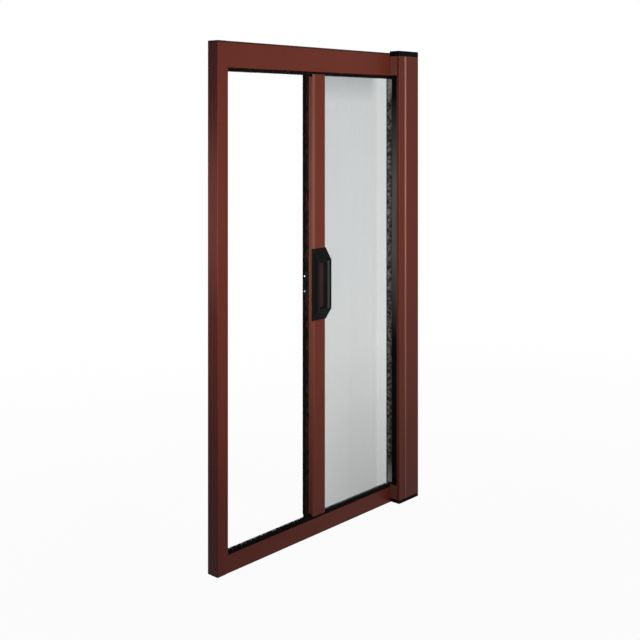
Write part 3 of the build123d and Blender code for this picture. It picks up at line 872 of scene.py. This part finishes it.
class SCREENDOOR_OT_rail_brushes(bpy.types.Operator):
    """Fill the rails' brush strips with fibres that stand from their backings"""

    bl_idname = "screendoor.rail_brushes"
    bl_label = "Fill the Rail Brushes"

    backing = 0.002
    thickness = 0.005
    count = 9000
    clump = 0.03
    pad_count = 2600
    pad_reach = 0.0215
    behind_rail = 0.002

    def execute(self, context):
        pile = context.scene.screendoor_pile
        base = tuple(0.3 * channel for channel in pile.dark)
        material = pile_material("rail_pile", base, pile.dark, 0.02)
        rng = np.random.default_rng(pile.seed)
        for rail, toward in (("head", -1), ("sill", 1)):
            for side, away in (("front", -1), ("back", 1)):
                node = f"{rail}_brush_{side}"
                strip = self.add_brush(node, toward, away, pile.fibre * 0.8, rng, material)
                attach(strip, "frame")
                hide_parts(node)
        self.add_bar_pads(pile.fibre * 1.2, rng, material)
        return {"FINISHED"}

    def add_brush(self, node, toward, away, fibre, rng, material):
        """One strip: fibres up or down from their backing, on one side of the mesh."""
        low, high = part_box(node)
        length = high.x - low.x
        near = high.y if away < 0 else low.y
        far = near + away * self.thickness
        start, end = (low.z, high.z) if toward > 0 else (high.z, low.z)
        x = rng.uniform(low.x, high.x, self.count)
        y = near + away * rng.uniform(0.0, self.thickness, self.count)
        short = rng.uniform(0.0, 0.0014, self.count)
        short = short + 0.0003 * (1 + smooth_noise(x - low.x, rng, self.clump, length))
        lean = rng.normal(0, 0.0006, (self.count, 2))
        lean[:, 0] += 0.001 * smooth_noise(x - low.x, rng, self.clump, length)
        tip_x = np.clip(x + lean[:, 0], low.x, high.x)
        tip_y = np.clip(y + lean[:, 1], min(near, far), max(near, far))
        roots = np.stack([x, y, np.full(self.count, start + toward * self.backing)], axis=1)
        tips = np.stack([tip_x, tip_y, end - toward * short], axis=1)
        strip = fibres(node + "_pile", roots, tips, fibre, rng, material)
        self.add_backing(strip, low, high, sorted((start, start + toward * self.backing)))
        return strip

    def add_backing(self, strip, low, high, z):
        """Adds the flat strip that the fibres stand in."""
        shape = bmesh.new()
        shape.from_mesh(strip.data)
        for vert in bmesh.ops.create_cube(shape, size=1.0)["verts"]:
            x = high.x if vert.co.x > 0 else low.x
            y = high.y if vert.co.y > 0 else low.y
            vert.co = Vector((x, y, z[1] if vert.co.z > 0 else z[0]))
        shape.to_mesh(strip.data)
        shape.free()

    def add_bar_pads(self, fibre, rng, material):
        """Pile pads that close the pull bar's two ends behind the rails."""
        low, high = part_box("pull_bar")
        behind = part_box("sill_rail")[1].y + self.behind_rail
        for name, start, toward in (("bar_pad_bottom", low.z, -1), ("bar_pad_top", high.z, 1)):
            x = rng.uniform(low.x + 0.001, high.x - 0.0015, self.pad_count)
            y = rng.uniform(behind, high.y - 0.002, self.pad_count)
            reach = self.pad_reach - rng.uniform(0.0, 0.0016, self.pad_count)
            tip_x = x + rng.normal(0, 0.0003, self.pad_count)
            roots = np.stack([x, y, np.full(self.pad_count, start)], axis=1)
            tips = np.stack([tip_x, y, start + toward * reach], axis=1)
            pad = fibres(name, roots, tips, fibre, rng, material)
            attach(pad, "pull_bar")


class SCREENDOOR_OT_mouth_pile(bpy.types.Operator):
    """Fill the cassette's mouth with the long pile that closes on the mesh"""

    bl_idname = "screendoor.mouth_pile"
    bl_label = "Fill the Mouth Pile"

    hang = 0.004
    shortest = 0.3
    tip_width = 0.8

    def execute(self, context):
        pile = context.scene.screendoor_pile
        material = self.mouth_material(pile)
        rng = np.random.default_rng(pile.seed + 1)
        for node, toward, count in (("mouth_pile_front", 1, 26000), ("mouth_pile_back", -1, 8000)):
            roots, tips = self.fibre_lines(*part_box(node), toward, count, rng)
            strip = fibres(node + "_fibres", roots, tips, pile.fibre, rng, material, self.tip_width)
            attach(strip, "frame")
            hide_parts(node)
        return {"FINISHED"}

    def mouth_material(self, pile):
        """Grey-brown pile, darker at its roots and paler at the mouth's two ends."""
        low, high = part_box("mouth_pile_front")
        dark, worn = (0.024, 0.013, 0.012), tuple(0.42 * channel for channel in pile.pale)
        material = pile_material("mouth_pile", dark, worn, 0.014, (low.y + 0.003, high.y - 0.006))
        ends = ((1.83, 2.2), (-0.2, 0.2))
        repaint(material, [(pile.pale, (None, None, span), 0.08, 0.5) for span in ends])
        return material

    def fibre_lines(self, low, high, toward, count, rng):
        """Roots and tips of fibres that reach across the mouth, in clumps of unlike length and lean."""
        start, end = (low.y, high.y) if toward > 0 else (high.y, low.y)
        length, height = abs(end - start), high.z - low.z
        z = rng.uniform(low.z, high.z, count)
        x = rng.uniform(low.x, high.x, count)
        along = z - low.z
        short = 0.025 * (1 + smooth_noise(along, rng, 0.012, height))
        short = short + 0.03 * (1 + smooth_noise(along, rng, 0.045, height))
        reach = length * np.clip(1 - short - rng.uniform(0, 0.06, count), self.shortest, 1.0)
        lean = 0.3 * smooth_noise(along, rng, 0.02, height)
        lean = lean + 0.25 * smooth_noise(along, rng, 0.05, height)
        lean = lean + rng.normal(0, 0.08, count)
        tip_z = np.clip(z + lean * length, low.z - self.hang, high.z)
        tip_x = np.clip(x + rng.normal(0, 0.0012, count), low.x, high.x)
        roots = np.stack([x, np.full(count, start), z], axis=1)
        tips = np.stack([tip_x, start + toward * reach, tip_z], axis=1)
        return roots, tips


class SCREENDOOR_OT_mouth_blanks(bpy.types.Operator):
    """Close the cassette's mouth in front of the rails with folded plates in the cassette's coat"""

    bl_idname = "screendoor.mouth_blanks"
    bl_label = "Close the Mouth at the Rails"

    thickness = 0.0015
    bend = 0.0025
    bend_steps = 6
    flange = 0.011
    gap = 0.0003
    short_of_carrier = 0.012

    def execute(self, context):
        cover_low, cover_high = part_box("cassette_cover")
        front = cover_high.y + self.gap
        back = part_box("sill_rail")[0].y - self.gap
        outline = self.channel_outline(cover_low.x + self.gap, front, back)
        faces = self.shell_faces(len(outline))
        coat = NODES["cassette_body"].material_slots[0].material
        carrier_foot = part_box("mouth_carrier_front")[0].z
        heights = {
            "mouth_blank_bottom": (cover_low.z + self.gap, carrier_foot - self.short_of_carrier),
            "mouth_blank_top": (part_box("head_rail")[0].z, cover_high.z - self.gap),
        }
        for name, levels in heights.items():
            verts = [(x, y, z) for z in levels for pair in outline for x, y in pair]
            blank = new_object(name, verts, faces, coat)
            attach(blank, "frame")
        return {"FINISHED"}

    def channel_outline(self, x, front, back):
        """Pairs of outer and inner points round a channel that opens to the right, with bent corners."""
        edge = x + self.flange
        points = [((edge, front), (edge, front + self.thickness))]
        for y, start in ((front + self.bend, 270.0), (back - self.bend, 180.0)):
            for step in range(self.bend_steps + 1):
                angle = math.radians(start - 90.0 * step / self.bend_steps)
                points.append(
                    tuple(
                        (x + self.bend + radius * math.cos(angle), y + radius * math.sin(angle))
                        for radius in (self.bend, self.bend - self.thickness)
                    )
                )
        points.append(((edge, back), (edge, back - self.thickness)))
        return points

    def shell_faces(self, count):
        """Faces of a plate that follows an outline of pairs from a low level to a high one."""

        def vert(level, step, side):
            return 2 * (level * count + step) + side

        faces = []
        for step in range(count - 1):
            after = step + 1
            faces += [
                (vert(1, step, 0), vert(1, after, 0), vert(0, after, 0), vert(0, step, 0)),
                (vert(1, after, 1), vert(1, step, 1), vert(0, step, 1), vert(0, after, 1)),
                (vert(0, after, 0), vert(0, after, 1), vert(0, step, 1), vert(0, step, 0)),
                (vert(1, step, 1), vert(1, after, 1), vert(1, after, 0), vert(1, step, 0)),
            ]
        for step, near, far in ((0, 1, 0), (count - 1, 0, 1)):
            faces.append((vert(1, step, near), vert(1, step, far), vert(0, step, far), vert(0, step, near)))
        return faces


class SCREENDOOR_OT_screws(bpy.types.Operator):
    """Fit the cross-recessed screws of the caps, the latch and the keeper, and the jamb's plugs"""

    bl_idname = "screendoor.screws"
    bl_label = "Fit the Screws"

    cap_head = 0.0026
    cap_head_depth = 0.0022
    jamb_port_inset = 0.0037
    cassette_port_inset = 0.0039
    cassette_back_port = 0.0528
    latch_head = 0.0042
    latch_spacing = 0.064
    latch_set_back = 0.0135
    keeper_spacing = 0.084
    plug_radius = 0.0027
    plug_taper = 0.9
    plug_depth = 0.0014
    plug_sunk = 0.0001
    plug_sides = 32
    plug_spacings = (1.68, 0.56)
    rings = 14
    steps = 48

    def execute(self, context):
        material = metal_material("screw_steel", (0.72, 0.74, 0.76), 0.28, EVEN_STRETCH)
        caps = []
        for label, face, direction in (("bottom", 0, -1), ("top", 1, 1)):
            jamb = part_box(f"jamb_cap_{label}")
            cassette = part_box(f"cassette_cap_{label}")
            for box, ports in ((jamb, self.jamb_ports(*jamb)), (cassette, self.cassette_ports(*cassette))):
                z = box[face].z - direction * self.cap_head_depth
                caps += [((x, y, z), (0, 0, direction)) for x, y in ports]
        self.add_screws("cap_screws", caps, self.cap_head, material, "frame")
        plate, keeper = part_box("latch_plate"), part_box("strike_keeper")
        pair = self.pair(plate, plate[0].x, -1, self.latch_spacing, self.latch_set_back)
        self.add_screws("latch_screws", pair, self.latch_head, material, "pull_bar")
        pair = self.pair(keeper, keeper[1].x, 1, self.keeper_spacing)
        self.add_screws("keeper_screws", pair, self.latch_head, material, "frame")
        self.add_plugs()
        return {"FINISHED"}

    def jamb_ports(self, low, high):
        """Where the two screws of a jamb cap stand, seen from above."""
        inset = self.jamb_port_inset
        return ((low.x + inset, low.y + inset), (low.x + inset, high.y - inset))

    def cassette_ports(self, low, high):
        """Where the three screws of a cassette cap stand, seen from above."""
        inset = self.cassette_port_inset
        return (
            (low.x + inset, low.y + inset),
            (low.x + self.cassette_back_port, high.y - inset),
            (high.x - inset, high.y - inset),
        )

    def pair(self, box, face, direction, spacing, set_back=0.0):
        """Two screws one above the other on a plate, behind its middle by set_back."""
        middle = (box[0] + box[1]) / 2
        heights = (middle.z + side * spacing / 2 for side in (-1, 1))
        return [((face, middle.y + set_back, z), (direction, 0, 0)) for z in heights]

    def add_plugs(self):
        """Coated plugs, narrower at their backs, that close the fixing holes in the jamb's outer face."""
        low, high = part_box("strike_jamb")
        middle_y, middle_z = (low.y + high.y) / 2, (low.z + high.z) / 2
        face = low.x + self.plug_sunk
        levels = ((face, self.plug_radius), (face + self.plug_depth, self.plug_radius * self.plug_taper))
        angles = [2 * math.pi * step / self.plug_sides for step in range(self.plug_sides)]
        ring = [(math.cos(angle), math.sin(angle)) for angle in angles]
        verts, faces = [], []
        for z in (middle_z + side * spacing / 2 for spacing in self.plug_spacings for side in (-1, 1)):
            rings = []
            for x, radius in levels:
                rings.append(range(len(verts), len(verts) + self.plug_sides))
                verts += [(x, middle_y + radius * across, z + radius * up) for across, up in ring]
            front, rear = rings
            faces += [tuple(reversed(front)), tuple(rear)]
            for step in range(self.plug_sides):
                after = (step + 1) % self.plug_sides
                faces.append((front[step], front[after], rear[after], rear[step]))
        coat = NODES["strike_jamb"].material_slots[0].material
        plugs = new_object("fixing_plugs", verts, faces, coat)
        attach(plugs, "frame")

    def add_screws(self, name, places, radius, material, body):
        """One mesh of domed heads, each with a cross pressed into it."""
        verts, faces = [], []
        for index, (place, direction) in enumerate(places):
            turn = Vector((0, 0, 1)).rotation_difference(Vector(direction)).to_matrix()
            turn = turn @ Matrix.Rotation(0.6 + 1.1 * index, 3, "Z")
            start = len(verts)
            for x, y in self.head_points(radius):
                point = Vector((x, y, self.head_height(x, y, radius)))
                verts.append(tuple(Vector(place) + turn @ point))
            for step in range(self.steps):
                after = (step + 1) % self.steps
                faces.append((start, start + 1 + step, start + 1 + after))
                for ring in range(self.rings - 1):
                    inner = start + 1 + ring * self.steps
                    outer = inner + self.steps
                    faces.append((inner + step, outer + step, outer + after, inner + after))
        screws = new_object(name, verts, faces, material, smooth=True)
        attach(screws, body)

    def head_points(self, radius):
        """Where a head's points lie, seen along the screw: its middle, and rings round it."""
        yield 0.0, 0.0
        for ring in range(1, self.rings + 1):
            for step in range(self.steps):
                angle = 2 * math.pi * step / self.steps
                reach = radius * ring / self.rings
                yield reach * math.cos(angle), reach * math.sin(angle)

    def head_height(self, x, y, radius):
        """How high a screw's head stands at a place, with its cross pressed in."""
        reach = math.hypot(x, y) / radius
        dome = 0.38 * radius * math.sqrt(max(0.0, 1 - reach**3))
        arm = min(abs(x), abs(y)) / radius
        length = max(abs(x), abs(y)) / radius
        depth = max(0.0, min(1.0, (0.17 - arm) / 0.06)) * max(0.0, min(1.0, (0.62 - length) / 0.12))
        return dome - 0.3 * radius * depth


class SCREENDOOR_OT_stage(bpy.types.Operator):
    """Set up the floor, the soft light and the camera"""

    bl_idname = "screendoor.stage"
    bl_label = "Set the Stage"

    floor_size = 40.0
    floor_gap = 0.0004
    lamp_tint = (1.0, 0.98, 0.97)
    sensor = 36.0
    frame_shift = -0.314
    eye = (-3.2445, -2.96205, 1.74865)
    heading = (0.7396, 0.6730)

    def execute(self, context):
        scene = context.scene
        stage = scene.screendoor_stage
        scene.view_settings.view_transform = "Standard"
        self.add_world(scene, stage)
        self.add_floor()
        for name, place, aim, size, share, colour, spread in (
            ("key_lamp", (-1.1, -4.3, 1.9), (0.1, 0.0, 1.55), 1.4, 0.88, self.lamp_tint, 57.0),
            ("side_lamp", (-3.6, -1.9, 1.35), (0.5, 0.0, 1.2), 0.6, 0.16, (1.0, 0.96, 1.0), 36.0),
            ("back_lamp", (1.9, 3.6, 1.9), (0.0, 0.0, 1.1), 1.4, 2.4, self.lamp_tint, 180.0),
        ):
            self.add_lamp(name, place, aim, size, stage.lamp * share, colour, spread)
        self.add_camera(scene, stage)
        return {"FINISHED"}

    def seen_rays(self, tree):
        """1 for what the camera sees, straight, mirrored or through the mesh, and 0 for other light."""
        path = add_node(tree, "ShaderNodeLightPath").outputs
        seen = arithmetic(tree, "MAXIMUM", path["Is Camera Ray"], path["Is Glossy Ray"])
        return arithmetic(tree, "MAXIMUM", seen, path["Is Transmission Ray"])

    def add_world(self, scene, stage):
        """White to the camera and to reflections, and a plain soft light otherwise."""
        world = scene.world or bpy.data.worlds.new("studio")
        scene.world = world
        world.use_nodes = True
        tree = world.node_tree
        strength = remap(tree, self.seen_rays(tree), 0.0, 1.0, stage.sky, 1.0)
        feed(tree, tree.nodes["Background"], Color=(1.0, 1.0, 1.0, 1.0), Strength=strength)

    def add_floor(self):
        """A white floor that keeps a faint shadow near the door and fades into the backdrop."""
        material, tree, shader = new_material("studio_floor")
        seen = self.seen_rays(tree)
        shade = grey(tree, remap(tree, seen, 0.0, 1.0, 0.25, 0.85))
        feed(tree, shader, Base_Color=shade, Roughness=0.9, Specular_IOR_Level=0.0)
        glow = add_node(tree, "ShaderNodeEmission", {"Color": (1.0, 1.0, 1.0, 1.0), "Strength": 1.0})
        lengths = add_node(tree, "ShaderNodeVectorMath", {0: object_place(tree)}, operation="LENGTH")
        share = times(tree, seen, remap(tree, lengths.outputs["Value"], 1.0, 4.5, 0.95, 1.0))
        mixed = add_node(tree, "ShaderNodeMixShader", {0: share, 1: shader.outputs[0], 2: glow.outputs[0]})
        feed(tree, tree.nodes["Material Output"], Surface=mixed.outputs[0])
        size = self.floor_size
        corners = [(-size, -size, 0.0), (size, -size, 0.0), (size, size, 0.0), (-size, size, 0.0)]
        floor = new_object("studio_floor", corners, [(0, 1, 2, 3)], material)
        floor.location.z = CAD_BOX[0].z - self.floor_gap

    def add_lamp(self, name, place, aim, size, power, colour, spread):
        """A large square lamp turned to a point."""
        lamp = bpy.data.lights.new(name, "AREA")
        lamp.size = size
        lamp.energy = power
        lamp.color = colour
        lamp.spread = math.radians(spread)
        holder = link_object(name, lamp)
        holder.location = place
        holder.rotation_euler = (Vector(aim) - Vector(place)).to_track_quat("-Z", "Y").to_euler()
        holder.visible_camera = False

    def add_camera(self, scene, stage):
        """The camera stands level to the left of the door, and looks along it."""
        data = bpy.data.cameras.new("camera")
        data.sensor_width = self.sensor
        data.lens = stage.lens
        data.shift_y = self.frame_shift
        camera = link_object("camera", data)
        camera.location = self.eye
        camera.rotation_euler = (math.radians(90.0), 0.0, -math.atan2(*self.heading))
        scene.camera = camera


class SCREENDOOR_PT_panel(bpy.types.Panel):
    """Lists the steps that dress the screen door"""

    bl_idname = "SCREENDOOR_PT_panel"
    bl_label = "Screen Door"
    bl_space_type = "VIEW_3D"
    bl_region_type = "UI"
    bl_category = "Screen Door"

    def draw(self, context):
        for step in STEPS:
            self.layout.operator(step.bl_idname)


SETTINGS = {
    "screendoor_coat": ScreenDoorCoat,
    "screendoor_mesh": ScreenDoorMesh,
    "screendoor_pile": ScreenDoorPile,
    "screendoor_stage": ScreenDoorStage,
}
STEPS = (
    SCREENDOOR_OT_surfaces,
    SCREENDOOR_OT_screen,
    SCREENDOOR_OT_rail_brushes,
    SCREENDOOR_OT_mouth_pile,
    SCREENDOOR_OT_mouth_blanks,
    SCREENDOOR_OT_screws,
    SCREENDOOR_OT_stage,
)


def register():
    """Makes the settings, the steps and the panel known to Blender."""
    for name, group in SETTINGS.items():
        bpy.utils.register_class(group)
        setattr(bpy.types.Scene, name, PointerProperty(type=group))
    for step in (*STEPS, SCREENDOOR_PT_panel):
        bpy.utils.register_class(step)


def unregister():
    """Takes them out again."""
    for step in (SCREENDOOR_PT_panel, *reversed(STEPS)):
        bpy.utils.unregister_class(step)
    for name, group in reversed(SETTINGS.items()):
        delattr(bpy.types.Scene, name)
        bpy.utils.unregister_class(group)


def main():
    """Dresses the door step by step."""
    register()
    for step in STEPS:
        area, name = step.bl_idname.split(".")
        getattr(getattr(bpy.ops, area), name)()


if __name__ == "__main__":
    main()
